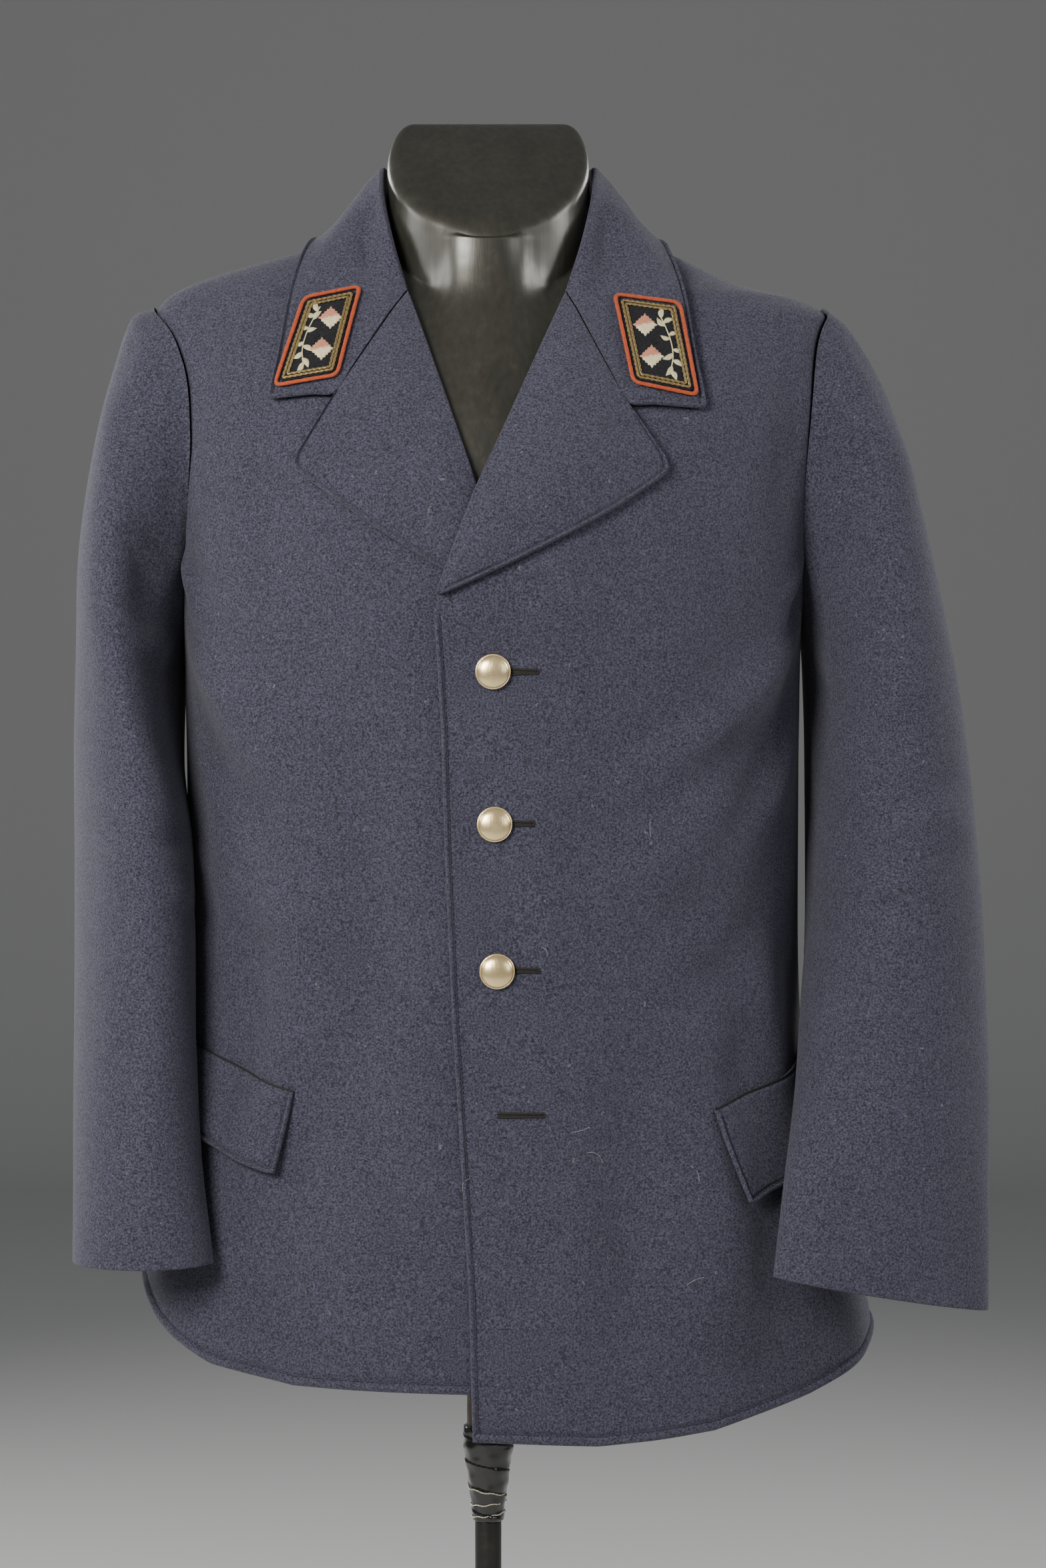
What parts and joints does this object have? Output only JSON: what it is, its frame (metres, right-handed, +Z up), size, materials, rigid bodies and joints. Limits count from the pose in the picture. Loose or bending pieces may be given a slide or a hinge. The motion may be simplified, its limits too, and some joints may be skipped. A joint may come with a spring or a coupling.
{
  "type": "postman tunic on a dress form",
  "caption": "Hip-length wool postman tunic with notched collar, lapels, collar patches and slanted pocket flaps, worn by a limbless dress form with a neck on a pole.",
  "frame": {"origin": "middle of the underside of the stand's round base", "axes": "+Z up along the stand's pole, front of the tunic faces -Y, +X towards the side on the right of someone who looks at the front"},
  "size_m": [0.6114, 0.32, 1.573],
  "materials": {
    "wool": "dense napped navy wool cloth",
    "button": "matt silvered and gilt metal",
    "patch": "black felt",
    "piping": "orange cord",
    "form": "charcoal, half gloss",
    "rod": "dark brown varnish",
    "joint": "black tape wrap",
    "pole": "dark grey satin",
    "base": "black satin"
  },
  "bodies": {
    "root": {"front_over": "wool", "front_under": "wool", "back": "wool", "sleeve_right": "wool", "sleeve_left": "wool", "collar": "wool", "lapel_over": "wool", "lapel_under": "wool", "flap_left": "wool", "flap_right": "wool", "button_1": "button", "button_2": "button", "button_3": "button", "patch_left": "patch", "patch_right": "patch", "piping_left": "piping", "piping_right": "piping", "form_body": "form", "stand_rod": "rod", "stand_joint": "joint", "stand_pole": "pole", "stand_base": "base"}
  },
  "joints": []
}
